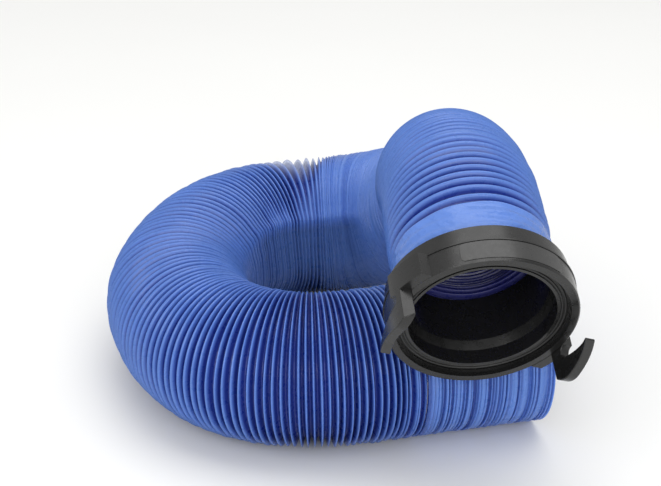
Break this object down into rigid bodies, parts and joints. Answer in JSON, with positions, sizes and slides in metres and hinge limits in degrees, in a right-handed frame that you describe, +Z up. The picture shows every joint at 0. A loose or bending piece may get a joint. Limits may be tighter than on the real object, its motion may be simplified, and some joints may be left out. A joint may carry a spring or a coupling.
{
  "type": "sewer hose kit",
  "caption": "Compressed wire-reinforced vinyl sewer hose, looped on the floor, with a swivelling bayonet fitting facing forward on its raised end.",
  "frame": {"origin": "on the floor, under the middle of the whole object's box", "axes": "+Z up; +Y away from the fitting's mouth, along the object's longest extent; +X towards the hose's free end"},
  "size_m": [0.272, 0.3536, 0.1764],
  "materials": {
    "black_abs": "moulded gloss black ABS",
    "seal_rubber": "satin black rubber",
    "blue_vinyl": "glossy translucent blue vinyl film",
    "spring_wire": "drawn spring steel wire",
    "clear_label": "plain translucent grey label film, no print"
  },
  "bodies": {
    "hose_and_hub": {"adapter_hub": "black_abs", "collar_retainer": "black_abs", "face_seal": "seal_rubber", "hose_inner_ply": "blue_vinyl", "hose_wire": "spring_wire", "hose_outer_ply": "blue_vinyl"},
    "collar": {"bayonet_collar": "black_abs", "collar_label": "clear_label"}
  },
  "joints": [
    {"name": "collar_swivel", "type": "hinge", "parent": "hose_and_hub", "child": "collar", "pos_m": [0.07918, -0.13664, 0.10842], "axis": [0.0937, -0.8995, -0.4268], "continuous": true}
  ]
}
